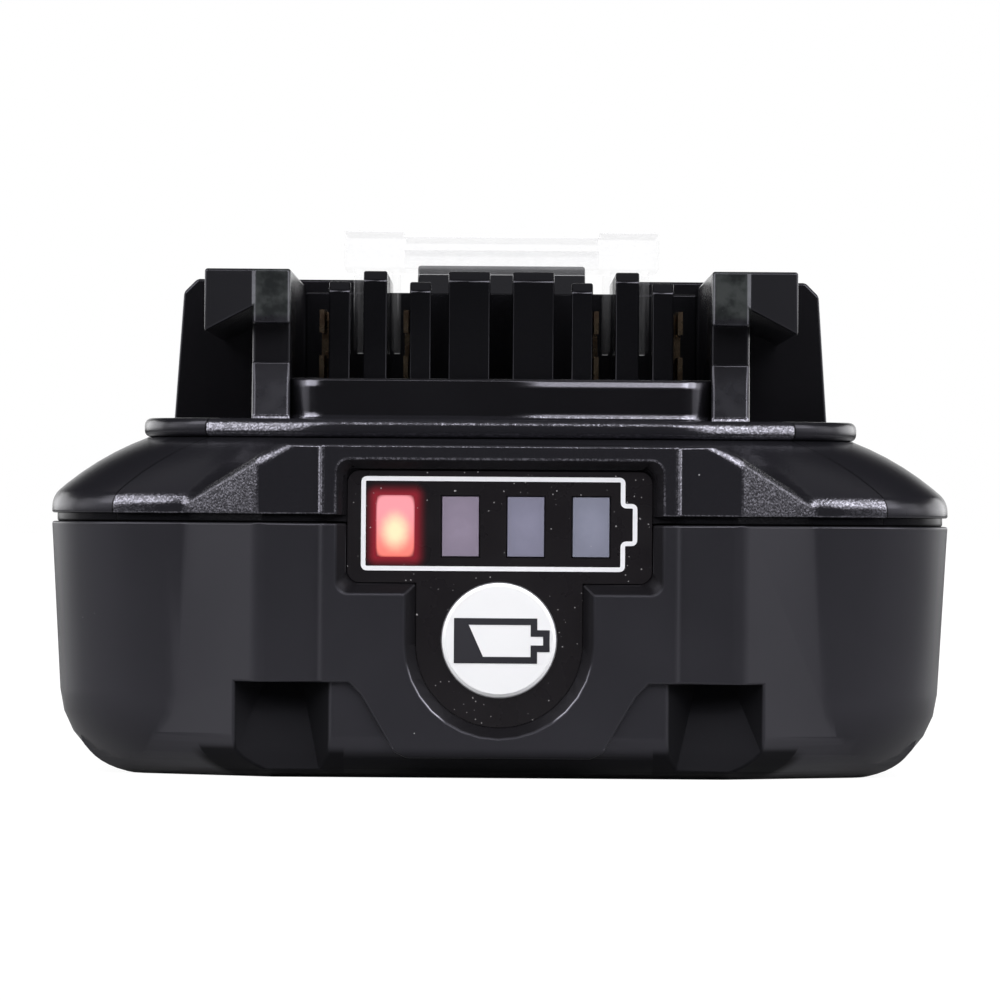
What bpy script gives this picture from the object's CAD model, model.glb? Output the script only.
# %% [markdown]
# Dressing a slide-on battery pack
#
# The pack is a black moulded box that slides onto a cordless tool: a tub below, a lid with rails above, a
# charge gauge on its nose and a milky storage cap over the terminals. Its construction comes from a packed
# model, in metres and in one fixed frame: +Z is up, and -Y is the end with the gauge, which the camera looks
# at. This lesson gives each piece its moulded edges and its finish. Nothing is moved and nothing is resized.

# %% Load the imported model
import math
import bmesh
import bpy
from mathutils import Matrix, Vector
from mathutils.bvhtree import BVHTree


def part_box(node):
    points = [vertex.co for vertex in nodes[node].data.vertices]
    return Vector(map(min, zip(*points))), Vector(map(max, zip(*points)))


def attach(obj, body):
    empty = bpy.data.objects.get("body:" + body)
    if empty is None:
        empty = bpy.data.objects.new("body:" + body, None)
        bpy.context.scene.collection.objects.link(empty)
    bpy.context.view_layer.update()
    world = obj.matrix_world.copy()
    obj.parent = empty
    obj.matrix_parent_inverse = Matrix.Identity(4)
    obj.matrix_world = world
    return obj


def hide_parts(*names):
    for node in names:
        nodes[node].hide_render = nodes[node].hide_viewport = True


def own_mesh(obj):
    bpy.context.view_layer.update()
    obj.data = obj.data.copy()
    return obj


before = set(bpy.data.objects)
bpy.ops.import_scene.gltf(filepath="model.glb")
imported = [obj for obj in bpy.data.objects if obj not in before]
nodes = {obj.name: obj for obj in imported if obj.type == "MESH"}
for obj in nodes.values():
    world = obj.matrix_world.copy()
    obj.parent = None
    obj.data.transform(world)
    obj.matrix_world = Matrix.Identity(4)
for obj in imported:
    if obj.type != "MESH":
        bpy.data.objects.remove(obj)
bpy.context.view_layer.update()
scene = bpy.context.scene
MM = 0.001

# %% [markdown]
# The camera
#
# The pack was photographed from straight in front, with the lens at about half its height. The picture's
# edges hardly converge, so the lens is long: at a metre away, 12.15 pixels of a 1000-pixel picture make one
# millimetre on the gauge's pad. The focal length follows from that scale, so it is worked out and not
# guessed. The pictured pack also leans by under half a degree, which is a roll of the camera.

# %% Set up the camera
PICTURE_PX = 1000
PAD_PX_PER_MM = 12.15
CAMERA_Y = -1.0
CAMERA_Z = 23.0 * MM
CAMERA_ROLL = math.radians(-0.40)
pad_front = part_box("lower_case")[0].y
camera_data = bpy.data.cameras.new("front_camera")
camera_data.sensor_width = 36.0
camera_data.lens = PAD_PX_PER_MM / MM * (pad_front - CAMERA_Y) / PICTURE_PX * camera_data.sensor_width
camera_data.clip_end = 50.0
camera = bpy.data.objects.new("front_camera", camera_data)
camera.location = (0.0, CAMERA_Y, CAMERA_Z)
camera.rotation_euler = (math.radians(90), CAMERA_ROLL, 0.0)
scene.collection.objects.link(camera)
scene.camera = camera
scene.view_settings.view_transform = "Standard"
print("lens in mm:", round(camera_data.lens, 1))

# %% [markdown]
# Arithmetic with nodes
#
# Light, floor and finishes are all built from node trees, and most of their nodes do plain arithmetic on
# numbers that differ from point to point. Written node by node, that is hard to read. So a small class stands
# for such a number: adding, multiplying or comparing two of them adds the math node and its links, and the
# formula in the script looks like a formula.

# %% Helpers for node trees
class Value:
    """A number that a node tree works out at every point. Arithmetic on it adds nodes to the tree."""

    def __init__(self, tree, socket):
        self.tree = tree
        self.socket = socket

    def step(self, operation, *values):
        made = node_in(self.tree, "ShaderNodeMath", operation=operation)
        for value, socket in zip(values, made.inputs):
            plug(self.tree, value, socket)
        return Value(self.tree, made.outputs[0])

    def __add__(self, other):
        return self.step("ADD", self, other)

    def __sub__(self, other):
        return self.step("SUBTRACT", self, other)

    def __rsub__(self, other):
        return self.step("SUBTRACT", other, self)

    def __mul__(self, other):
        return self.step("MULTIPLY", self, other)

    def __truediv__(self, other):
        return self.step("DIVIDE", self, other)

    def __pow__(self, other):
        return self.step("POWER", self, other)

    def __abs__(self):
        return self.step("ABSOLUTE", self)

    def most(self, other):
        """The larger of two values."""
        return self.step("MAXIMUM", self, other)

    def least(self, other):
        """The smaller of two values."""
        return self.step("MINIMUM", self, other)

    def rise(self, low, high, first=0.0, last=1.0):
        """A smooth change from first to last while this value runs from low to high."""
        made = node_in(self.tree, "ShaderNodeMapRange", interpolation_type="SMOOTHSTEP", Value=self,
                       From_Min=low, From_Max=high, To_Min=first, To_Max=last)
        return Value(self.tree, made.outputs["Result"])

    def fall(self, low, high):
        """1 below low, 0 above high, and a smooth change between them."""
        return self.rise(low, high, 1.0, 0.0)

    def pick(self, first, second):
        """The first number where this value is 0, the second where it is 1, and a mix between."""
        made = node_in(self.tree, "ShaderNodeMix", data_type="FLOAT", Factor=self, A=first, B=second)
        return Value(self.tree, made.outputs["Result"])


def plug(tree, value, socket):
    """Links a socket or a Value to an input, or sets the input to a plain value."""
    source = value.socket if isinstance(value, Value) else value
    if isinstance(source, bpy.types.NodeSocket):
        tree.links.new(source, socket)
    else:
        socket.default_value = source


def node_in(tree, kind, **values):
    """Adds a node. Each value names one of the node's settings or inputs."""
    made = tree.nodes.new(kind)
    for word, value in values.items():
        if word in made.bl_rna.properties:
            setattr(made, word, value)
        else:
            plug(tree, value, made.inputs[word.replace("_", " ")])
    return made


def emptied(owner):
    """The cleared node tree of a world or a material."""
    owner.use_nodes = True
    owner.node_tree.nodes.clear()
    return owner.node_tree


def ray_kinds(tree, *words):
    """1 for rays of the named kinds and 0 for others, one value for each name."""
    path = node_in(tree, "ShaderNodeLightPath")
    return [Value(tree, path.outputs["Is %s Ray" % word]) for word in words]


print("helpers: Value, node_in, plug")

# %% [markdown]
# Light and background
#
# Black plastic shows nothing but what it mirrors, so the lights are shaped by the reflections in the
# photograph. Two large soft boxes, in front and high up, give the stipple, the rim and the rounded edges
# their light. A soft box on each side draws the upright bands on the rounded corners, and two behind light
# the rear. A narrow strip, in front of the right half only, draws the long highlight on the ledge. The wall
# behind is white to the camera, and to reflections only near the horizon, so it adds no light of its own.
# The floor is white to the camera too, apart from the pack's soft shadow, and mirrors only near the pack.

# %% Light the pack and set the background
AIM = Vector((0.0, -0.02, 0.02))
SIDE_LIGHT, FRONT_LIGHT, REAR_LIGHT, TOP_LIGHT, STRIP_LIGHT = 1.6, 7.2, 1.3, 0.3, 0.8


def soft_box(name, place, width, height, watts):
    """An area lamp at a place, turned to face the pack."""
    lamp = bpy.data.lights.new(name, "AREA")
    lamp.shape = "RECTANGLE"
    lamp.size = width
    lamp.size_y = height
    lamp.energy = watts
    lamp_object = bpy.data.objects.new(name, lamp)
    lamp_object.location = place
    lamp_object.rotation_euler = (AIM - Vector(place)).to_track_quat("-Z", "Y").to_euler()
    scene.collection.objects.link(lamp_object)


for side, word in ((-1, "left"), (1, "right")):
    soft_box("side_box_" + word, (side * 0.75, -0.16, 0.26), 0.70, 0.46, SIDE_LIGHT)
    soft_box("front_box_" + word, (side * 0.50, -0.48, 0.57), 1.00, 0.62, FRONT_LIGHT)
    soft_box("rear_box_" + word, (side * 0.60, 0.55, 0.18), 0.60, 0.36, REAR_LIGHT)
soft_box("top_box", (0.0, 0.15, 0.75), 0.80, 0.60, TOP_LIGHT)
soft_box("front_strip", (0.175, -0.57, 0.47), 0.35, 0.06, STRIP_LIGHT)

AMBIENT = 0.15
WALL_BEFORE, WALL_BEHIND = 0.03, 1.1
scene.world = bpy.data.worlds.new("studio")
sky = emptied(scene.world)
direction = node_in(sky, "ShaderNodeTexCoord").outputs["Generated"]
heading = node_in(sky, "ShaderNodeSeparateXYZ", Vector=direction)
wall = Value(sky, heading.outputs["Y"]).rise(-0.25, 0.45, WALL_BEFORE, WALL_BEHIND)
wall = wall * Value(sky, heading.outputs["Z"]).fall(0.10, 0.40)
from_camera, mirrored, passed = ray_kinds(sky, "Camera", "Glossy", "Transmission")
level = mirrored.most(passed).pick(AMBIENT, wall).most(from_camera)
background = node_in(sky, "ShaderNodeBackground", Color=level)
node_in(sky, "ShaderNodeOutputWorld", Surface=background.outputs[0])

FLOOR_SIZE = 12.0
FLOOR_WHITE_SHARE, FLOOR_GLOW = 0.85, 1.10
FLOOR_PAINT, FLOOR_BOUNCE, FLOOR_MIRRORED = 0.82, 0.12, 0.50
half = FLOOR_SIZE / 2
floor_mesh = bpy.data.meshes.new("floor")
floor_mesh.from_pydata([(-half, -half, 0), (half, -half, 0), (half, half, 0), (-half, half, 0)], [],
                       [(0, 1, 2, 3)])
floor = bpy.data.objects.new("floor", floor_mesh)
scene.collection.objects.link(floor)
floor_paint = bpy.data.materials.new("floor_paint")
ground = emptied(floor_paint)
place = node_in(ground, "ShaderNodeTexCoord").outputs["Object"]
length = node_in(ground, "ShaderNodeVectorMath", operation="LENGTH", Vector=place)
reach = Value(ground, length.outputs["Value"])
from_camera, mirrored, passed = ray_kinds(ground, "Camera", "Glossy", "Transmission")
seen = from_camera.most(passed)
bounced = mirrored.pick(FLOOR_BOUNCE, reach.rise(0.09, 0.22, FLOOR_MIRRORED, FLOOR_BOUNCE))
matt = node_in(ground, "ShaderNodeBsdfDiffuse", Color=seen.pick(bounced, FLOOR_PAINT))
glow = node_in(ground, "ShaderNodeEmission", Color=(1, 1, 1, 1), Strength=FLOOR_GLOW)
mixed = node_in(ground, "ShaderNodeMixShader", Fac=seen * reach.rise(0.07, 0.22, FLOOR_WHITE_SHARE, 1.0))
plug(ground, matt.outputs[0], mixed.inputs[1])
plug(ground, glow.outputs[0], mixed.inputs[2])
node_in(ground, "ShaderNodeOutputMaterial", Surface=mixed.outputs[0])
floor_mesh.materials.append(floor_paint)

# %% [markdown]
# Moulded edges
#
# A mould is cut with a tool of some radius, so no edge of the real pack is knife-sharp, and those small
# roundings are what catch the light on a black part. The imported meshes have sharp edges. Painting the
# roundings into the normals alone would be quicker, but the shape would then be missing from the mesh. So
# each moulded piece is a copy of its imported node: its loose triangles are merged, flat faces are dissolved
# into single polygons, and every edge that turns sharply is bevelled where the faces beside it leave room.
# The radius isn't the same everywhere: the nose, the rim and the band above the parting line are rounded
# generously, and the small features hardly at all. So each edge carries a weight, its own share of the widest
# radius. A bevel can still throw a corner out of a crowded place. The result is therefore held against the
# packed surface, and edges next to a stray corner are left sharp in the next try. Weighted normals then keep
# the flats flat.

# %% Round the edges of the moulded pieces
MERGE = 0.002 * MM
FLAT = math.radians(0.4)
SHARP = math.radians(24)
CHAIN = math.radians(50)
WIDEST = 1.2 * MM
SHORTEST_SHARE, ROOM_SHARE = 0.6, 1.2
STRAY = 0.45 * MM
KEEP_AWAY = 1.0 * MM
MOST_TRIES = 5
NOSE_BACK = -46.0 * MM
NOSE_SIDE = 17.0 * MM
POCKET_TOP = 8.5 * MM
PARTING_TOP = 21.9 * MM
BAND_TOP = 23.1 * MM
RIM_TOP = 29.7 * MM


def has_room(edge, radii):
    """True where the edges that meet this one leave room for its rounding."""
    radius = radii[edge]
    if edge.calc_length() < SHORTEST_SHARE * radius:
        return False
    along = (edge.verts[1].co - edge.verts[0].co).normalized()
    for corner in edge.verts:
        for other in corner.link_edges:
            if other == edge or not set(other.link_faces) & set(edge.link_faces):
                continue
            away = other.other_vert(corner).co - corner.co
            turn = math.acos(min(1.0, abs(away.normalized().dot(along))))
            if turn < CHAIN and other in radii:
                continue
            if away.length * math.sin(turn) < ROOM_SHARE * (radius + radii.get(other, 0.0)):
                return False
    return True


def apart_from(edge, place):
    """How far a place lies from an edge."""
    start, end = (corner.co for corner in edge.verts)
    share = (place - start).dot(end - start) / max((end - start).length_squared, 1e-18)
    return (start.lerp(end, max(0.0, min(1.0, share))) - place).length


def roundings(work, radius_at, small, spoilt):
    """The radius of each edge to round. A crowded edge falls back to the small radius, then to none."""
    radii = {}
    for edge in work.edges:
        if len(edge.link_faces) == 2 and edge.calc_face_angle(0.0) > SHARP:
            if any(apart_from(edge, place) < KEEP_AWAY for place in spoilt):
                continue
            radius = radius_at((edge.verts[0].co + edge.verts[1].co) / 2, edge)
            if radius:
                radii[edge] = radius
    count = len(radii)
    for step in range(4):
        for edge in [e for e in radii if not has_room(e, radii)]:
            if radii[edge] > small:
                radii[edge] = small
            elif step > 0:
                del radii[edge]
    return radii, count


def plain_mesh(name, piece):
    """Applies a piece's modifiers and leaves a plain mesh on it."""
    bpy.context.view_layer.update()
    done = bpy.data.meshes.new_from_object(piece.evaluated_get(bpy.context.evaluated_depsgraph_get()))
    piece.modifiers.clear()
    piece.data = done
    done.name = name


def strays(piece, packed):
    """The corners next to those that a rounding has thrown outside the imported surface."""
    corners = piece.data.vertices
    outside = set()
    for corner in corners:
        near, normal, index, far = packed.find_nearest(corner.co)
        if far > STRAY and (corner.co - near).dot(normal) > 0.0:
            outside.add(corner.index)
    pairs = [tuple(edge.vertices) for edge in piece.data.edges]
    crossing = [pair for pair in pairs if len(outside.intersection(pair)) == 1]
    return [corners[b if a in outside else a].co.copy() for a, b in crossing]


def moulded(name, node, body, small, radius_at=None, segments=4):
    """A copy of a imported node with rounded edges, which stands for that node."""
    piece = bpy.data.objects.new(name, bpy.data.meshes.new(name))
    scene.collection.objects.link(piece)
    spoilt = []
    for attempt in range(MOST_TRIES):
        work = bmesh.new()
        work.from_mesh(nodes[node].data)
        bmesh.ops.remove_doubles(work, verts=work.verts, dist=MERGE)
        packed = BVHTree.FromBMesh(work)
        bmesh.ops.dissolve_degenerate(work, edges=work.edges, dist=MERGE)
        bmesh.ops.dissolve_limit(work, angle_limit=FLAT, verts=work.verts, edges=work.edges)
        weights = work.edges.layers.float.new("bevel_weight_edge")
        radii, found = roundings(work, radius_at or (lambda at, edge: small * edge.is_convex), small, spoilt)
        for edge, radius in radii.items():
            edge[weights] = radius / WIDEST
        for face in work.faces:
            face.smooth = True
        rounded = len(radii)
        piece.data = bpy.data.meshes.new(name)
        work.to_mesh(piece.data)
        work.free()
        bevel = piece.modifiers.new("rounding", "BEVEL")
        bevel.limit_method = "WEIGHT"
        bevel.width = WIDEST
        bevel.segments = segments
        bevel.use_clamp_overlap = False
        plain_mesh(name, piece)
        more = strays(piece, packed)
        if not more:
            break
        spoilt += more
    piece.data.set_sharp_from_angle(angle=SHARP)
    normals = piece.modifiers.new("flat_faces", "WEIGHTED_NORMAL")
    normals.keep_sharp = True
    plain_mesh(name, piece)
    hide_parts(node)
    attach(piece, body)
    print(name, "sharp:", found, "rounded:", rounded, "tries:", attempt + 1,
          "faces:", len(piece.data.polygons))
    return piece


def is_upright(edge):
    """True for an edge that runs up and down."""
    return abs(edge.verts[0].co.z - edge.verts[1].co.z) > 0.9 * edge.calc_length()


def tub_radius(place, edge):
    """The tub: soft where its nose turns, small elsewhere."""
    if is_upright(edge) and abs(place.x) > NOSE_SIDE and place.y < NOSE_BACK and place.z > POCKET_TOP:
        return 0.9 * MM if edge.is_convex else 1.2 * MM
    return 0.2 * MM * edge.is_convex


def lid_radius(place, edge):
    """The lid: soft on the nose, the rim plate and the band above the parting line, small elsewhere."""
    if not edge.is_convex:
        return 0.0
    if place.z < PARTING_TOP:
        return 0.2 * MM
    if abs(place.z - BAND_TOP) < 0.3 * MM:
        return 0.8 * MM
    if place.z < RIM_TOP - 1.8 * MM and abs(place.x) > NOSE_SIDE:
        return 0.9 * MM if is_upright(edge) else 1.1 * MM
    if RIM_TOP - 1.7 * MM < place.z < RIM_TOP + 0.1 * MM:
        return 0.6 * MM
    return 0.25 * MM


lower_shell = moulded("lower_shell", "lower_case", "pack", 0.2 * MM, tub_radius)
upper_shell = moulded("upper_shell", "upper_case", "pack", 0.2 * MM, lid_radius)
terminal_deck = moulded("terminal_deck", "terminal_block", "pack", 0.18 * MM, segments=3)
release_latch = moulded("release_latch_button", "release_button", "release_latch", 0.25 * MM,
                        segments=3)
storage_cap = moulded("storage_cap_shell", "terminal_cover", "storage_cap", 0.15 * MM,
                      segments=3)

# %% [markdown]
# Finishes: how a moulded plastic is built up
#
# All the finishes are worked out from each piece's own object coordinates, counted here in millimetres, so
# they hold still on the piece from every side and need no image. A plastic has four layers. A base colour
# drifts a little, because no moulding is quite even. The roughness drifts as well, in wider patches, where
# hands have polished the surface. A fine grain lifts the normals. Last, a few specks of dust and fluff lie on
# it: cells of a Voronoi texture, kept only near their centres and only where a second noise allows, so that
# they don't form a pattern.

# %% Helpers for the finishes
SPECULAR_TINT, NEUTRAL = (0.88, 0.86, 1.0, 1.0), (1.0, 1.0, 1.0, 1.0)
DUST_PALE = (0.42, 0.42, 0.44)
SEED_SHIFT = Vector((0.0137, 0.0071, 0.0113))


class Paint:
    """A material in the making, with the place on its piece as values in millimetres."""

    def __init__(self, name):
        self.material = bpy.data.materials.new(name)
        self.material.use_nodes = True
        self.tree = self.material.node_tree
        self.shader = self.tree.nodes["Principled BSDF"]
        self.place = self.node("ShaderNodeTexCoord").outputs["Object"]
        self.x, self.y, self.z = (part / MM for part in self.parts(self.place))
        self.out = abs(self.x)

    def node(self, kind, **values):
        return node_in(self.tree, kind, **values)

    def vector(self, operation, *values):
        """One step of arithmetic on vectors."""
        made = self.node("ShaderNodeVectorMath", operation=operation)
        for value, socket in zip(values, made.inputs):
            plug(self.tree, value, socket)
        return made.outputs[0]

    def parts(self, vector):
        """The x, y and z of a vector."""
        split = self.node("ShaderNodeSeparateXYZ", Vector=vector)
        return [Value(self.tree, split.outputs[word]) for word in "XYZ"]

    def normal(self):
        """The direction that the surface faces."""
        return self.node("ShaderNodeNewGeometry").outputs["Normal"]

    def noise(self, size, detail=2.0, seed=0.0):
        """A noise whose features have about the given size."""
        made = self.node("ShaderNodeTexNoise", noise_dimensions="4D", Vector=self.place,
                         Scale=1 / (size * MM), Detail=detail, W=seed)
        return Value(self.tree, made.outputs["Fac"])

    def mix(self, share, first, second):
        """A colour between two others, which may be plain colours."""
        made = self.node("ShaderNodeMix", data_type="RGBA", Factor=share)
        for colour, socket in zip((first, second), made.inputs[6:8]):
            plug(self.tree, (*colour, 1.0) if isinstance(colour, tuple) else colour, socket)
        return made.outputs[2]

    def dust(self, spacing, size, share, seed):
        """1 on scattered specks and 0 elsewhere."""
        place = self.vector("ADD", self.place, seed * SEED_SHIFT)
        bent = self.node("ShaderNodeTexNoise", Vector=place, Scale=0.7 / (size * MM), Detail=1.0)
        moved = self.vector("MULTIPLY_ADD", bent.outputs["Color"], (size * MM,) * 3, place)
        cells = self.node("ShaderNodeTexVoronoi", Vector=moved, Scale=1 / (spacing * MM))
        speck = Value(self.tree, cells.outputs["Distance"]).fall(0.6 * size / spacing, size / spacing)
        return speck * self.noise(7 * spacing, 3.0, seed + 3.0).rise(1.0 - share, 1.04 - share)

    def bump(self, height, depth):
        """Joins a height to the shader's normal."""
        made = self.node("ShaderNodeBump", Strength=1.0, Distance=depth * MM, Height=height)
        self.set(Normal=made.outputs["Normal"])
        return made

    def set(self, **inputs):
        """Sets or links the shader's inputs."""
        for word, value in inputs.items():
            plug(self.tree, value, self.shader.inputs[word.replace("_", " ")])


def plastic(name, dark, light, rough, grain, depth, specks=0.0, tint=SPECULAR_TINT, specular=0.5):
    """A moulded plastic with drifting colour and roughness, a grain and a little dust."""
    paint = Paint(name)
    colour = paint.mix(paint.noise(9.0, 3.0, 1.0), dark, light)
    if specks:
        colour = paint.mix(paint.dust(1.3, 0.07, specks, 2.0), colour, DUST_PALE)
    paint.set(Base_Color=colour, Roughness=paint.noise(14.0, 4.0, 5.0).rise(0.3, 0.7, *rough),
              Specular_Tint=tint, Specular_IOR_Level=specular)
    paint.bump(paint.noise(grain, 2.0, 9.0), depth)
    return paint.material


def dress(material, *pieces):
    """Puts a finish on pieces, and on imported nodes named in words."""
    for piece in pieces:
        mesh = (nodes[piece] if isinstance(piece, str) else piece).data
        mesh.materials.clear()
        mesh.materials.append(material)
    print(material.name, "on", len(pieces), "pieces")


print("helpers: Paint, plastic, dress")

# %% [markdown]
# The two halves of the case
#
# The tub is plain satin plastic. The lid isn't: its front carries a spark-eroded stipple, which stops at a
# straight witness line near each corner, where the slides of the mould met. Beyond that line the plastic is
# smooth again. The line is a vertical plane, so a point's signed distance from it, taken with the size of x
# for both sides at once, says on which side the point lies. That one number mixes the two grains and also
# sinks a hair-thin groove. The stipple's facets are too small for a picture to resolve by bump alone, so each
# facet also throws back its own amount of light. Masks of the same kind mark the places that never get
# polished: the strip above the parting line, which ends in a black seam, the walls of the gauge's recess and
# of the two pockets under the nose, and the scuffed front ends of the rails. The rim's front bows by a hair
# towards its ends, and the ledge and the pad have narrow turned edges. These are too small for the mesh, but
# their highlights show, so they tilt the shading normal.

# %% Finish the case
WITNESS_NEAR, WITNESS_FAR = Vector((24.6, -42.14)), Vector((32.2, -49.3))
WITNESS_WIDTH = 0.07
SEAM_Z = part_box("upper_case")[0].z / MM
STIPPLE_TOP = SEAM_Z + 8.9
REVEAL = 0.7
RAIL_FRONT = -41.8
WEB_IN, WEB_OUT = 17.4, 20.8
RIM_LOW, RIM_HIGH = 28.0, 29.8
LEDGE_LOW, LEDGE_HIGH = 29.8, 33.3
RIM_BOW, RIM_LEAN, LEDGE_TURN, LIP_TURN, EDGE_TURN, WEB_TURN = 0.20, 0.24, 0.60, 0.36, 0.28, 0.40
STIPPLE, STIPPLE_DEPTH = 0.12, 0.020
PAD_FACE, PAD_HALF = pad_front / MM, 15.1
NOSE_FOOT, NOSE_Y, NOSE_HALF, NOSE_SLANT = 2.7, -56.0, 20.0, 5.8 / 5.2
TUB_DARK, TUB_LIGHT = (0.0105, 0.0103, 0.0126), (0.0140, 0.0137, 0.0168)
LID_DARK, LID_LIGHT = (0.0090, 0.0088, 0.0110), (0.0120, 0.0117, 0.0145)
RAIL_DARK, RAIL_PLAIN = (0.0032, 0.0031, 0.0038), (0.012, 0.012, 0.014)
RECESS_DARK, REVEAL_DARK = (0.0065, 0.0060, 0.0072), (0.0040, 0.0040, 0.0050)
SEAM_DARK = (0.001, 0.001, 0.001)
DULL = 0.10


def witness_distance(paint):
    """How far a point lies in front of the lid's witness plane."""
    along = (WITNESS_FAR - WITNESS_NEAR).normalized()
    return (WITNESS_NEAR.x - paint.out) * -along.y + (WITNESS_NEAR.y - paint.y) * along.x


def recess_wall(paint, start=0.05, end=9.0):
    """1 on the walls of the gauge's recess, between two depths behind the pad's face."""
    wide = paint.out.fall(14.2, 14.3) * paint.z.rise(14.3, 14.4)
    foot = paint.out.fall(8.7, 8.8) * paint.z.rise(2.4, 2.5)
    near, far = PAD_FACE + start, PAD_FACE + end
    deep = paint.y.rise(near, near + 0.05) * paint.y.fall(far, far + 0.03)
    return wide.most(foot) * deep * paint.z.fall(27.2, 27.3)


def sparkle(paint):
    """The stipple as light sees it: small facets, of which some throw back much more than others."""
    facets = paint.node("ShaderNodeTexVoronoi", Vector=paint.place, Scale=1 / (STIPPLE * MM))
    parts = paint.node("ShaderNodeSeparateColor", Color=facets.outputs["Color"])
    return Value(paint.tree, parts.outputs[0]).rise(0.25, 1.0, 0.45, 2.0)


def rail_colours(paint, rail_end, web):
    """The rails: nearly black, with scuffed front ends whose webs are mottled."""
    mottle = paint.noise(1.3, 4.0, 8.0).rise(0.35, 0.65)
    lower = paint.mix(mottle, (0.008, 0.008, 0.010), (0.016, 0.016, 0.019))
    upper = paint.mix(mottle, (0.012, 0.014, 0.014), (0.040, 0.044, 0.044))
    scuffed = paint.mix(paint.z.rise(38.0, 38.6), lower, upper)
    return paint.mix(rail_end, RAIL_DARK, paint.mix(web, RAIL_PLAIN, scuffed))


def stippled_plastic(name):
    """The lid's plastic: stippled in front of the witness lines and satin behind them."""
    paint = Paint(name)
    x, y, z, out = paint.x, paint.y, paint.z, paint.out
    apart = witness_distance(paint)
    low = z.fall(STIPPLE_TOP, STIPPLE_TOP + 0.2)
    front = apart.rise(0.0, 0.05) * low
    line = low * abs(apart).fall(0.5 * WITNESS_WIDTH, WITNESS_WIDTH)
    reveal = z.fall(SEAM_Z + REVEAL, SEAM_Z + REVEAL + 0.08)
    dark = line.most(z.fall(SEAM_Z + 0.12, SEAM_Z + 0.24))
    recess = recess_wall(paint)
    before = y.fall(RAIL_FRONT, RAIL_FRONT + 0.5)
    rail_end = before * out.rise(WEB_IN, WEB_IN + 0.1)
    web = out.fall(WEB_OUT, WEB_OUT + 0.1)

    colour = paint.mix(paint.noise(9.0, 3.0, 1.0), LID_DARK, LID_LIGHT)
    colour = paint.mix(low, rail_colours(paint, rail_end, web), colour)
    colour = paint.mix(reveal, colour, REVEAL_DARK)
    colour = paint.mix(paint.dust(1.3, 0.07, 0.36, 2.0), colour, DUST_PALE)
    colour = paint.mix(recess, colour, RECESS_DARK)
    satin = paint.noise(14.0, 4.0, 5.0).rise(0.3, 0.7, 0.20, 0.27)
    paint.set(Base_Color=paint.mix(dark, colour, SEAM_DARK), Roughness=front.pick(satin, 0.26),
              Specular_Tint=SPECULAR_TINT)
    grain = front.pick(paint.noise(0.12, 1.0, 4.0) * 0.12, paint.noise(0.20, 0.0, 9.0))
    bump = paint.bump(grain - line, STIPPLE_DEPTH)

    rim = front * z.rise(RIM_LOW - 0.1, RIM_LOW) * z.fall(RIM_HIGH, RIM_HIGH + 0.1)
    bow = rim * out.rise(13.0, 18.0, 0.0, RIM_BOW) * out.fall(19.5, 24.0)
    lean = rim * out.rise(13.0, 19.0, 0.0, RIM_LEAN)
    ledge = before * z.rise(LEDGE_LOW, LEDGE_LOW + 0.1) * z.fall(LEDGE_HIGH - 0.1, LEDGE_HIGH)
    ledge = ledge * out.fall(WEB_IN + 0.1, WEB_IN + 0.2)
    turn = ledge * out.rise(14.8, WEB_IN, 0.0, LEDGE_TURN)
    lips = z.rise(LEDGE_HIGH - 1.05, LEDGE_HIGH - 0.70) + z.fall(LEDGE_LOW + 0.2, LEDGE_LOW + 0.6)
    lit_half = x.rise(0.0, 4.0).most(out.rise(14.6, 15.6))
    pad_edge = out.rise(PAD_HALF - 0.45, PAD_HALF - 0.30, 0.0, EDGE_TURN)
    pad_edge = pad_edge * y.fall(PAD_FACE + 0.30, PAD_FACE + 0.40)
    web_edge = out.rise(WEB_OUT - 0.35, WEB_OUT - 0.15) - out.fall(WEB_IN + 0.35, WEB_IN + 0.55)
    web_edge = rail_end * web * web_edge * (WEB_TURN - low * WEB_TURN)
    tilt = paint.node("ShaderNodeCombineXYZ", X=(bow + turn + (pad_edge + web_edge)) * x.step("SIGN", x),
                      Z=lean + ledge * lips * lit_half * LIP_TURN + (pad_edge + abs(web_edge)) * 0.8)
    tilted = paint.vector("NORMALIZE", paint.vector("ADD", paint.normal(), tilt.outputs[0]))
    plug(paint.tree, tilted, bump.inputs["Normal"])

    facing_x, facing_y, facing_z = paint.parts(tilted)
    turned_away = facing_y.rise(-0.99, -0.965) * facing_z.fall(0.62, 0.75)
    worn_edge = facing_z.rise(0.10, 0.22) * facing_z.fall(0.45, 0.62) * abs(facing_x).rise(0.05, 0.15)
    gloss = (front * turned_away).pick(low.pick(0.45, 0.35), sparkle(paint)) + worn_edge * front * 0.55
    gloss = gloss + ledge * lips.most(turn) * lit_half + pad_edge * 2.5
    paint.set(Specular_IOR_Level=reveal.most(dark).most(recess).pick(gloss, DULL))
    return paint.material


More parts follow.
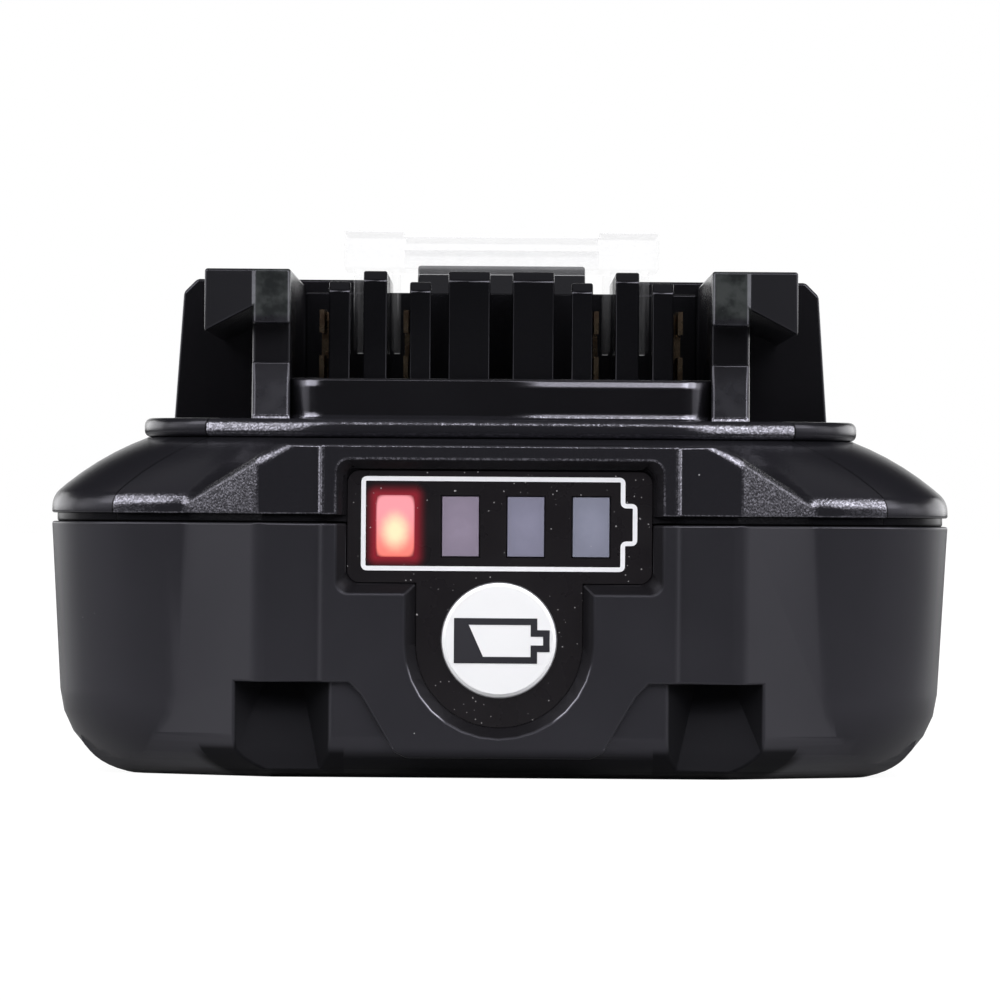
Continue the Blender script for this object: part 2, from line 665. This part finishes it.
def satin_tub(name):
    """The tub's plastic: satin outside, and left rough and dull inside the two pockets."""
    paint = Paint(name)
    y, z, out = paint.y, paint.z, paint.out
    depth = y - NOSE_Y
    inside = depth.least(depth * NOSE_SLANT + NOSE_HALF - out).rise(0.10, 0.40)
    pocket_top = POCKET_TOP / MM
    pocket = inside * z.fall(pocket_top - 0.7, pocket_top - 0.5) * z.rise(0.3, 0.6)
    pocket = pocket * out.rise(12.6, 12.8) * y.fall(-51.6, -51.4)
    recess = recess_wall(paint)
    under = z.fall(NOSE_FOOT - 1.2, NOSE_FOOT) * y.fall(-51.5, -50.5)
    colour = paint.mix(paint.noise(9.0, 3.0, 1.0), TUB_DARK, TUB_LIGHT)
    for mask, shade in ((pocket, (0.0040, 0.0040, 0.0048)), (recess, RECESS_DARK),
                        (under, (0.0030, 0.0030, 0.0036)), (paint.dust(1.3, 0.07, 0.36, 2.0), DUST_PALE)):
        colour = paint.mix(mask, colour, shade)
    satin = paint.noise(14.0, 4.0, 5.0).rise(0.3, 0.7, 0.30, 0.38)
    arcs = out.rise(4.3, 5.2) * z.fall(8.6, 9.8)
    gloss = recess_wall(paint, 0.01, 0.06).pick(0.45, arcs.pick(0.12, 2.6))
    paint.set(Base_Color=colour, Roughness=pocket.pick(satin, 0.6), Specular_Tint=SPECULAR_TINT,
              Specular_IOR_Level=pocket.most(recess).most(under).pick(gloss, DULL))
    paint.bump(paint.noise(0.10, 2.0, 9.0), 0.004)
    return paint.material


dress(stippled_plastic("lid_plastic"), upper_shell)
dress(satin_tub("tub_plastic"), lower_shell)
dress(plastic("deck_plastic", (0.0028, 0.0028, 0.0034), (0.0046, 0.0046, 0.0055), (0.10, 0.18), 0.3, 0.003),
      terminal_deck)
latch_plastic = plastic("latch_plastic", (0.008, 0.008, 0.0092), (0.011, 0.011, 0.0125), (0.30, 0.40), 0.2,
                        0.012, 0.30, specular=0.25)
dress(latch_plastic, release_latch)

# %% [markdown]
# The gauge
#
# The first of four light pipes is lit. A light pipe has its diode behind it, so the light is hottest in front
# of the diode and cools towards the edges: a yellow heart, in a body that is pink above and orange below. The
# lit plastic also leaks into the black film around it. Instead of hoping that the renderer finds that leak,
# the film glows by itself, and the glow fades with the distance from the window.

# %% Finish the gauge
HOT_SPOT_DROP = 0.4
GLOW_REACH = 1.5
HEART_NARROW = 0.8
HEART, CORNER = (1.0, 0.92, 0.57), (0.22, 0.020, 0.030)
BODY_TOP, BODY_FOOT = (0.97, 0.35, 0.40), (0.98, 0.22, 0.17)
LEAK = (0.75, 0.028, 0.06, 1.0)


def front_face(node):
    """The middle and the half sizes of a node's front face, in x and z and in metres."""
    places = [corner.co for corner in nodes[node].data.vertices]
    front = min(place.y for place in places)
    face = [place for place in places if place.y < front + 0.01 * MM]
    low, high = (Vector((pick(p.x for p in face), pick(p.z for p in face))) for pick in (min, max))
    return (low + high) / 2, (high - low) / 2


def from_window(paint, node, drop=0.0):
    """The x and z from the middle of a window, and the window's half sizes."""
    middle, half = (size / MM for size in front_face(node))
    return paint.x - middle.x, paint.z - (middle.y - drop), half.x, half.y


def lit_window(name, node):
    """A light pipe with a yellow heart in a body that runs from pink at its top to orange at its foot."""
    paint = Paint(name)
    from_x, from_z, half_w, half_h = from_window(paint, node, HOT_SPOT_DROP)
    across, along = abs(from_x / half_w), from_z / half_h
    apart = ((across * HEART_NARROW) ** 2.0 + along ** 2.0) ** 0.5
    heart = (apart + (paint.noise(0.5, 3.0, 2.0) * 0.12 - 0.06)).fall(0.12, 0.85)
    lamp = paint.mix(heart, paint.mix(along.rise(-0.9, 0.8), BODY_FOOT, BODY_TOP), HEART)
    corner = across ** 6.0 + abs(along - HOT_SPOT_DROP / half_h) ** 6.0
    paint.set(Base_Color=(0.10, 0.03, 0.03, 1.0), Roughness=0.35, Emission_Strength=0.95,
              Emission_Color=paint.mix(corner.rise(0.7, 1.9), lamp, CORNER))
    return paint.material


def dark_window(name, node, colour):
    """A light pipe whose diode is off: milky, a little paler in the middle, with dust."""
    paint = Paint(name)
    from_x, from_z, half_w, half_h = from_window(paint, node)
    apart = ((from_x / half_w) ** 2.0 + (from_z / half_h) ** 2.0) ** 0.5
    edge = tuple(0.82 * part for part in colour)
    milky = paint.mix(apart.rise(0.2, 1.3), colour, edge)
    cloud = paint.mix(paint.noise(1.2, 4.0, 3.0).rise(0.35, 0.75, 0.0, 0.5), milky, edge)
    paint.set(Base_Color=paint.mix(paint.dust(0.9, 0.06, 0.5, 6.0), cloud, (0.5, 0.5, 0.52)), Roughness=0.42)
    paint.bump(paint.noise(0.25, 2.0, 4.0), 0.004)
    return paint.material


def fascia_film(name, node):
    """Black film with dust, lit from the side by the glowing window."""
    paint = Paint(name)
    from_x, from_z, half_w, half_h = from_window(paint, node)
    beside, above = (abs(from_x) - half_w).most(0.0), (abs(from_z) - half_h).most(0.0)
    glow = ((beside ** 2.0 + above ** 2.0) ** 0.5).fall(0.0, GLOW_REACH) ** 2.2
    colour = paint.mix(paint.noise(3.0, 3.0, 1.0), (0.0070, 0.0058, 0.0073), (0.0100, 0.0087, 0.0105))
    specks = paint.dust(0.50, 0.065, 0.50, 3.0).most(paint.dust(1.5, 0.10, 0.45, 8.0))
    paint.set(Base_Color=paint.mix(specks, colour, (0.30, 0.29, 0.30)), Specular_IOR_Level=0.22,
              Roughness=paint.noise(5.0, 4.0, 7.0).rise(0.3, 0.7, 0.24, 0.34),
              Emission_Color=LEAK, Emission_Strength=glow * 0.36)
    paint.bump(paint.noise(0.35, 3.0, 5.0), 0.003)
    return paint.material


def white_button(name):
    """White plastic whose turned edge glows a little, as thin white plastic does."""
    paint = Paint(name)
    colour = paint.mix(paint.noise(9.0, 3.0, 1.0), (0.80, 0.80, 0.83), (0.87, 0.87, 0.89))
    facing = paint.parts(paint.normal())[1]
    paint.set(Base_Color=paint.mix(paint.dust(1.3, 0.07, 0.22, 2.0), colour, DUST_PALE),
              Roughness=paint.noise(14.0, 4.0, 5.0).rise(0.3, 0.7, 0.34, 0.42),
              Emission_Color=(0.93, 0.93, 0.96, 1.0), Emission_Strength=facing.rise(-0.98, -0.55, 0.0, 0.34))
    paint.bump(paint.noise(0.15, 2.0, 9.0), 0.003)
    return paint.material


dress(lit_window("lit_window", "light_pipe_1"), "light_pipe_1")
for node, colour in (("light_pipe_2", (0.250, 0.208, 0.285)), ("light_pipe_3", (0.212, 0.208, 0.292)),
                     ("light_pipe_4", (0.216, 0.223, 0.300))):
    dress(dark_window("dark_window_" + node[-1], node, colour), node)
dress(fascia_film("fascia_film", "light_pipe_1"), "gauge_fascia")
dress(white_button("button_plastic"), "check_button")

# %% [markdown]
# The printed signs
#
# Two signs are printed on the gauge: a white battery outline around the windows, and a black battery on the
# button. Ink has a thickness, so each sign is a thin plate just proud of its surface. The outline is one
# stroke along a path with rounded corners. The path is worked out from the windows it surrounds, then widened
# to both sides.

# %% Make the printed signs
INK, INK_LIFT = 0.03 * MM, 0.002 * MM
STROKE = 0.38 * MM
OUTLINE_BESIDE, OUTLINE_ABOVE, OUTLINE_BELOW = 1.12 * MM, 1.46 * MM, 1.03 * MM
OUTLINE_CORNER = 0.32 * MM
NUB_OUT, NUB_HALF_H = 1.0 * MM, 1.55 * MM
ARC_STEPS = 6


def rounded_path(corners, radius):
    """A closed path of 2-D points whose corners are drawn as curves."""
    path = []
    for index, corner in enumerate(corners):
        start = corner + radius * (corners[index - 1] - corner).normalized()
        end = corner + radius * (corners[(index + 1) % len(corners)] - corner).normalized()
        for step in range(ARC_STEPS + 1):
            t = step / ARC_STEPS
            path.append((1 - t) ** 2 * start + 2 * t * (1 - t) * corner + t ** 2 * end)
    return path


def sides_of_stroke(path, width):
    """The two edges of a stroke of the given width along a closed path."""
    inner, outer = [], []
    for index, point in enumerate(path):
        along = (path[(index + 1) % len(path)] - path[index - 1]).normalized()
        across = Vector((-along.y, along.x)) * width / 2
        inner.append(point + across)
        outer.append(point - across)
    return inner, outer


def ink_plate(name, edges, y_face, body, material):
    """A thin plate in front of a face, between two closed edges."""
    work = bmesh.new()
    loops = []
    for depth in (y_face - INK, y_face - INK_LIFT):
        for edge in edges:
            loops.append([work.verts.new((p.x, depth, p.y)) for p in edge])
    front, front_other, back, back_other = loops
    for first, second in ((front, back), (front_other, front), (back, back_other), (back_other, front_other)):
        for index in range(len(first)):
            work.faces.new((first[index - 1], second[index - 1], second[index], first[index]))
    bmesh.ops.recalc_face_normals(work, faces=work.faces)
    mesh = bpy.data.meshes.new(name)
    work.to_mesh(mesh)
    work.free()
    piece = bpy.data.objects.new(name, mesh)
    scene.collection.objects.link(piece)
    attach(piece, body)
    dress(material, piece)


def outline_corners(left, right, low, high, nub, nub_low, nub_high):
    """A lying battery with its nub on the right, counter-clockwise from the lower left."""
    points = ((left, low), (right, low), (right, nub_low), (nub, nub_low), (nub, nub_high), (right, nub_high),
              (right, high), (left, high))
    return [Vector(point) for point in points]


(first, first_half), (last, last_half) = front_face("light_pipe_1"), front_face("light_pipe_4")
left, right = first.x - first_half.x - OUTLINE_BESIDE, last.x + last_half.x + OUTLINE_BESIDE
low, high = first.y - first_half.y - OUTLINE_BELOW, first.y + first_half.y + OUTLINE_ABOVE
middle = (low + high) / 2
gauge_corners = outline_corners(left, right, low, high, right + NUB_OUT, middle - NUB_HALF_H,
                                middle + NUB_HALF_H)
white_ink = plastic("white_ink", (0.70, 0.70, 0.74), (0.86, 0.86, 0.90), (0.45, 0.60), 0.12, 0.006,
                    tint=NEUTRAL)
black_ink = plastic("black_ink", (0.009, 0.009, 0.011), (0.016, 0.016, 0.019), (0.38, 0.50), 0.12, 0.004, 0.2)
ink_plate("gauge_outline_print", sides_of_stroke(rounded_path(gauge_corners, OUTLINE_CORNER), STROKE),
          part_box("gauge_fascia")[0].y, "pack", white_ink)

SIGN_STROKE = 0.54 * MM
SIGN_LEFT, SIGN_RIGHT, SIGN_NUB = -3.72 * MM, 3.14 * MM, 4.17 * MM
SIGN_LOW, SIGN_HIGH = -1.91 * MM, 1.81 * MM
SIGN_NUB_LOW, SIGN_NUB_HIGH = -0.95 * MM, 0.85 * MM
CHARGE_LOW, CHARGE_HIGH = -1.32 * MM, -2.51 * MM
button_middle = front_face("check_button")[0]
sign = outline_corners(SIGN_LEFT, SIGN_RIGHT, SIGN_LOW, SIGN_HIGH, SIGN_NUB, SIGN_NUB_LOW, SIGN_NUB_HIGH)
hollow = outline_corners(SIGN_LEFT, SIGN_RIGHT - SIGN_STROKE, SIGN_LOW + SIGN_STROKE, SIGN_HIGH - SIGN_STROKE,
                         SIGN_NUB - SIGN_STROKE, SIGN_NUB_LOW + SIGN_STROKE, SIGN_NUB_HIGH - SIGN_STROKE)
hollow[0].x, hollow[-1].x = CHARGE_LOW, CHARGE_HIGH
ink_plate("button_sign_print", [[button_middle + p for p in edge] for edge in (sign, hollow)],
          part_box("check_button")[0].y, "check_key", black_ink)

# %% [markdown]
# The storage cap
#
# The cap is thin milky plastic: the white wall behind it shows through, so from the front it is hardly there.
# It could be built with refraction, but a millimetre of cloudy plastic bends nothing that one could see, and
# refraction draws dark lines along every edge. A partly transparent, pale surface is closer. Its legs are
# clearer than its walls, and its upward faces are the milkiest, because there one looks through the light
# that falls on them.

# %% Finish the storage cap
CLEAR, VEILED, FROM_ABOVE = 0.05, 0.16, 0.26
VEIL_LOW, VEIL_HIGH = 42.6, 44.4


def milky(name):
    """Pale plastic that lets most of what lies behind it through."""
    paint = Paint(name)
    cloud = paint.mix(paint.noise(6.0, 4.0, 2.0), (0.90, 0.90, 0.93), (0.95, 0.95, 0.97))
    uneven = paint.noise(2.0, 3.0, 8.0).rise(0.3, 0.7, 0.8, 1.2)
    cover = paint.z.rise(VEIL_LOW, VEIL_HIGH, CLEAR, VEILED) * uneven
    upward = paint.parts(paint.normal())[2].rise(0.3, 0.8)
    paint.set(Base_Color=cloud, Roughness=paint.noise(3.0, 3.0, 6.0).rise(0.3, 0.7, 0.30, 0.45),
              Alpha=upward.pick(cover, FROM_ABOVE), Emission_Color=(0.95, 0.95, 0.98, 1.0),
              Emission_Strength=upward * 0.30)
    paint.bump(paint.noise(0.3, 2.0, 4.0), 0.004)
    return paint.material


dress(milky("milky_cap"), storage_cap)

# %% [markdown]
# Metals
#
# Bare metal is never one colour either. Brass spring contacts tarnish in soft patches, and the tarnish is
# darker, redder and rougher than the metal, so one noise drives both the colour and the roughness. Rolled
# strip and drawn wire also carry fine lines along their length. A noise that is stretched along one axis
# gives those lines.

# %% Finish the metals
LINE_SIZE, LINE_DEPTH = 0.09, 0.002


def metal(name, bright, tarnished, rough, patch, stretch=(1.0, 1.0, 1.0)):
    """A metal with tarnish in patches and fine lines along one axis."""
    paint = Paint(name)
    spots = paint.noise(patch, 5.0, 3.0).rise(0.42, 0.68)
    drawn = paint.vector("MULTIPLY", paint.place, stretch)
    lines = paint.node("ShaderNodeTexNoise", Vector=drawn, Scale=1 / (LINE_SIZE * MM), Detail=3.0)
    lines = Value(paint.tree, lines.outputs["Fac"])
    paint.set(Metallic=1.0, Base_Color=paint.mix(spots, bright, tarnished),
              Roughness=lines * 0.12 + spots.rise(0.0, 1.0, *rough))
    paint.bump(lines, LINE_DEPTH)
    return paint.material


brass = metal("contact_brass", (0.34, 0.26, 0.18), (0.15, 0.10, 0.07), (0.16, 0.34), 1.4, (1.0, 1.0, 0.05))
nickel = metal("strap_nickel", (0.66, 0.64, 0.60), (0.46, 0.44, 0.41), (0.22, 0.36), 3.0, (1.0, 0.05, 1.0))
spring_steel = metal("spring_steel", (0.56, 0.57, 0.58), (0.34, 0.33, 0.32), (0.18, 0.34), 0.8)
screw_zinc = metal("screw_zinc", (0.60, 0.61, 0.63), (0.38, 0.37, 0.36), (0.24, 0.42), 1.0)
dress(brass, "positive_terminal", "negative_terminal", "signal_contacts")
dress(nickel, "positive_tab", "negative_tab", "strap_12", "strap_23", "strap_34", "strap_45")
dress(screw_zinc, "case_screws")

# %% [markdown]
# Inside the case
#
# What the case hides still gets its own finish, because the pack can be opened or cut. The cells lie along x,
# so the distance from the middle plane says where the shrink sleeve ends and the bare steel can begins. The
# boards' copper shows through the green mask as straight runs: a brick pattern, bent by nothing, reads as
# tracks.

# %% Finish the pieces inside
SLEEVE_END, RING_END = 31.4, 32.1
STRIPE = 1.0


def cell_sleeve(name):
    """A shrink sleeve with a white ring at each end and the bare can beyond it."""
    paint = Paint(name)
    ring = paint.out.rise(SLEEVE_END, SLEEVE_END + 0.05)
    can = paint.out.rise(RING_END, RING_END + 0.05)
    film = paint.mix(paint.noise(6.0, 4.0, 2.0), (0.020, 0.105, 0.135), (0.030, 0.135, 0.170))
    colour = paint.mix(can, paint.mix(ring, film, (0.72, 0.72, 0.70)), (0.60, 0.59, 0.57))
    paint.set(Base_Color=colour, Metallic=can,
              Roughness=paint.noise(4.0, 3.0, 6.0).rise(0.3, 0.7, 0.24, 0.40))
    paint.bump(paint.noise(1.1, 3.0, 4.0), 0.01)
    return paint.material


def board_mask(name):
    """Green solder mask over copper tracks."""
    paint = Paint(name)
    tracks = paint.node("ShaderNodeTexBrick", Vector=paint.place, Scale=1 / (9 * MM), Mortar_Size=0.035,
                        Mortar_Smooth=0.3, offset=0.35, squash=0.7).outputs["Fac"]
    mask = paint.mix(paint.noise(5.0, 3.0, 2.0), (0.006, 0.060, 0.026), (0.009, 0.082, 0.036))
    paint.set(Base_Color=paint.mix(tracks, mask, (0.020, 0.150, 0.066)),
              Roughness=paint.noise(2.0, 3.0, 6.0).rise(0.3, 0.7, 0.22, 0.34))
    paint.bump(tracks, 0.03)
    return paint.material


def ribbon_lead(name):
    """A flat lead whose copper runs show as stripes through its film."""
    paint = Paint(name)
    angle = paint.x * (2 * math.pi / STRIPE)
    stripe = angle.step("SINE", angle).rise(-0.2, 0.3)
    film = paint.mix(paint.noise(2.0, 3.0, 2.0), (0.50, 0.47, 0.40), (0.58, 0.55, 0.48))
    paint.set(Base_Color=paint.mix(stripe, film, (0.48, 0.27, 0.13)), Roughness=0.34)
    paint.bump(stripe, 0.03)
    return paint.material


def fibrous(name, dark, light, fibre, depth):
    """Pressed paper or foam: matt, with a coarse grain that also shades its hollows."""
    paint = Paint(name)
    grain = paint.noise(fibre, 5.0, 3.0)
    paint.set(Base_Color=paint.mix(grain.rise(0.3, 0.7), dark, light),
              Roughness=grain.rise(0.3, 0.7, 0.95, 0.80))
    paint.bump(grain, depth)
    return paint.material


dress(cell_sleeve("cell_sleeve"), "cell_1", "cell_2", "cell_3", "cell_4", "cell_5")
dress(board_mask("board_mask"), "main_board", "gauge_board")
dress(ribbon_lead("ribbon_lead"), "gauge_ribbon")
dress(fibrous("barley_paper", (0.16, 0.19, 0.15), (0.25, 0.28, 0.22), 0.25, 0.03), "insulator_sheet")
dress(fibrous("foam", (0.012, 0.012, 0.013), (0.050, 0.050, 0.053), 0.5, 0.2), "cell_pad")
INNER_PLASTICS = (
    ("holder_plastic", (0.020, 0.020, 0.022), (0.030, 0.030, 0.033), (0.42, 0.55), 0.2, 0.01,
     ("cell_holder_left", "cell_holder_right")),
    ("switch_plastic", (0.012, 0.012, 0.012), (0.020, 0.020, 0.020), (0.40, 0.50), 0.1, 0.004,
     ("check_switch",)),
    ("plunger_plastic", (0.060, 0.058, 0.055), (0.085, 0.082, 0.078), (0.40, 0.50), 0.1, 0.004,
     ("switch_plunger",)),
    ("led_body", (0.62, 0.60, 0.50), (0.74, 0.72, 0.62), (0.25, 0.35), 0.2, 0.004, ("leds",)),
    ("chip_epoxy", (0.010, 0.010, 0.011), (0.018, 0.018, 0.019), (0.50, 0.62), 0.08, 0.006,
     ("board_chips", "power_transistors")),
    ("sensor_epoxy", (0.010, 0.014, 0.030), (0.016, 0.022, 0.045), (0.30, 0.40), 0.3, 0.01, ("thermistor",)),
)
for name, dark, light, rough, grain, depth, places in INNER_PLASTICS:
    dress(plastic(name, dark, light, rough, grain, depth, tint=NEUTRAL), *places)

# %% [markdown]
# What repeats or follows a path: grip ribs, weld marks and coil springs
#
# The release button has a row of fine ribs for the thumb, each cell end carries four spot welds, and two coil
# springs push the button up. All three are made by Geometry Nodes: points in a line with one shape on every
# point, and for the springs a spiral with a round wire along it. A loop over copied objects would do as well,
# but a tree keeps the count, the spacing and the size as named inputs, so that a row can be changed in one
# place. Each tree ends by realizing its instances, because only real faces can be exported, and by setting
# the material.

# %% Build the three trees
ACROSS_X = (0.0, math.radians(90), 0.0)
WELD_FLATNESS = 0.2
SOCKETS = {"count": "NodeSocketInt", "size": "NodeSocketFloat", "place": "NodeSocketVector"}


def tree_of(name, **inputs):
    """An empty Geometry Nodes tree with named inputs: returns the tree and the inputs as sockets."""
    tree = bpy.data.node_groups.new(name, "GeometryNodeTree")
    tree.interface.new_socket("Geometry", in_out="OUTPUT", socket_type="NodeSocketGeometry")
    for word, kind in inputs.items():
        tree.interface.new_socket(word.replace("_", " "), in_out="INPUT", socket_type=SOCKETS[kind])
    return tree, tree.nodes.new("NodeGroupInput").outputs


def line_of(tree, count, start, offset):
    """Points in a line."""
    made = node_in(tree, "GeometryNodeMeshLine", Count=count, Start_Location=start, Offset=offset)
    return made.outputs["Mesh"]


def copies(tree, points, shape, **values):
    """A shape on every point."""
    made = node_in(tree, "GeometryNodeInstanceOnPoints", Points=points, Instance=shape, **values)
    return made.outputs["Instances"]


def ended(tree, instances, material):
    """Closes a tree: real faces, a material and the output."""
    faces = node_in(tree, "GeometryNodeRealizeInstances", Geometry=instances)
    dressed = node_in(tree, "GeometryNodeSetMaterial", Geometry=faces.outputs["Geometry"], Material=material)
    node_in(tree, "NodeGroupOutput", Geometry=dressed.outputs["Geometry"])


def grown(name, tree, body, slot, **sizes):
    """Runs a tree with its sizes and leaves a plain mesh that rides on a body."""
    piece = bpy.data.objects.new(name, bpy.data.meshes.new(name))
    modifier = piece.modifiers.new(name, "NODES")
    modifier.node_group = tree
    for item in tree.interface.items_tree:
        if item.in_out == "INPUT":
            modifier[item.identifier] = sizes[item.name.replace(" ", "_")]
    scene.collection.objects.link(piece)
    plain_mesh(name, piece)
    piece.data.set_sharp_from_angle(angle=SHARP)
    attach(piece, body)
    print(name, "faces:", len(piece.data.polygons))
    return piece


rib_tree, rib = tree_of("rib_row", Ribs="count", First_Place="place", Step="place", Length="size",
                        Radius="size")
rib_shape = node_in(rib_tree, "GeometryNodeMeshCylinder", Vertices=20, Radius=rib["Radius"],
                    Depth=rib["Length"])
rib_line = line_of(rib_tree, rib["Ribs"], rib["First Place"], rib["Step"])
ended(rib_tree, copies(rib_tree, rib_line, rib_shape.outputs["Mesh"], Rotation=ACROSS_X), latch_plastic)

weld_tree, weld = tree_of("weld_marks", Cells="count", First_Cell="place", Step="place", Left_Strap="place",
                          Strap_To_Strap="place", Pitch="size", Radius="size")
mark = node_in(weld_tree, "GeometryNodeMeshIcoSphere", Radius=weld["Radius"], Subdivisions=2)
square = node_in(weld_tree, "GeometryNodeMeshGrid", Size_X=weld["Pitch"], Size_Y=weld["Pitch"], Vertices_X=2,
                 Vertices_Y=2)
four = copies(weld_tree, square.outputs["Mesh"], mark.outputs["Mesh"], Scale=(1.0, 1.0, WELD_FLATNESS))
strap_pair = line_of(weld_tree, 2, weld["Left Strap"], weld["Strap To Strap"])
both_ends = copies(weld_tree, strap_pair, four, Rotation=ACROSS_X)
cell_row = line_of(weld_tree, weld["Cells"], weld["First Cell"], weld["Step"])
ended(weld_tree, copies(weld_tree, cell_row, both_ends), nickel)

coil_tree, coil = tree_of("coil_springs", Left_Place="place", Step="place", Turns="size", Radius="size",
                          Height="size", Wire_Radius="size")
spiral = node_in(coil_tree, "GeometryNodeCurveSpiral", Resolution=32, Rotations=coil["Turns"],
                 Start_Radius=coil["Radius"], End_Radius=coil["Radius"], Height=coil["Height"])
wire = node_in(coil_tree, "GeometryNodeCurvePrimitiveCircle", Resolution=12, Radius=coil["Wire Radius"])
wound = node_in(coil_tree, "GeometryNodeCurveToMesh", Curve=spiral.outputs["Curve"],
                Profile_Curve=wire.outputs["Curve"], Fill_Caps=True)
spring_pair = line_of(coil_tree, 2, coil["Left Place"], coil["Step"])
ended(coil_tree, copies(coil_tree, spring_pair, wound.outputs["Mesh"]), spring_steel)
print("trees:", [tree.name for tree in (rib_tree, weld_tree, coil_tree)])

# %% [markdown]
# The ribs lie along the button's sloped thumb face, half sunk into it. The slope's two ends are read from the
# packed button. The welds sit on the straps' outer faces, at the middle of each cell end. The springs fill
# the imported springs' box. A spring gets shorter as the button goes down, so it is squashed towards its foot
# by that travel.

# %% Place the ribs, the welds and the springs
RIB_START, RIB_STEP, RIB_LENGTH, RIB_RADIUS = 3.2 * MM, 1.5 * MM, 15.0 * MM, 0.32 * MM
SLOPE_TOP_Y, SLOPE_FOOT_Y = 50.2 * MM, 55.3 * MM
corners = [corner.co for corner in nodes["release_button"].data.vertices]
face_top = max((c for c in corners if abs(c.y - SLOPE_TOP_Y) < 0.3 * MM), key=lambda c: c.z)
face_foot = max((c for c in corners if c.y > SLOPE_FOOT_Y), key=lambda c: c.z)
slope = Vector((0.0, face_foot.y - face_top.y, face_foot.z - face_top.z)).normalized()
first_rib = Vector((0.0, face_top.y, face_top.z)) + slope * RIB_START
grip_ribs = grown("grip_ribs", rib_tree, "release_latch", "latch_plastic", Ribs=6, First_Place=first_rib,
                  Step=slope * RIB_STEP, Length=RIB_LENGTH, Radius=RIB_RADIUS)

WELD_PITCH, WELD_RADIUS = 2.6 * MM, 0.6 * MM
first_cell, second_cell = (sum(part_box(node), Vector()) / 2 for node in ("cell_1", "cell_2"))
strap_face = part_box("strap_12")[1].x
weld_marks = grown("weld_marks", weld_tree, "pack", "nickel", Cells=5, Pitch=WELD_PITCH, Radius=WELD_RADIUS,
                   First_Cell=Vector((0.0, first_cell.y, first_cell.z)),
                   Step=Vector((0.0, second_cell.y - first_cell.y, 0.0)),
                   Left_Strap=Vector((-strap_face, 0.0, 0.0)),
                   Strap_To_Strap=Vector((2 * strap_face, 0.0, 0.0)))

SPRING_TURNS, SPRING_RADIUS, SPRING_WIRE = 4.0, 2.2 * MM, 0.3 * MM
spring_low, spring_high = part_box("latch_springs")
spring_x = spring_high.x - SPRING_RADIUS - SPRING_WIRE
spring_height = spring_high.z - spring_low.z
spring_foot = Vector((-spring_x, (spring_low.y + spring_high.y) / 2, spring_low.z + SPRING_WIRE))
latch_coils = grown("latch_coils", coil_tree, "pack", "spring_steel", Left_Place=spring_foot,
                    Step=Vector((2 * spring_x, 0.0, 0.0)), Turns=SPRING_TURNS, Radius=SPRING_RADIUS,
                    Height=spring_height - 2 * SPRING_WIRE, Wire_Radius=SPRING_WIRE)
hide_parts("latch_springs")
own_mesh(latch_coils)
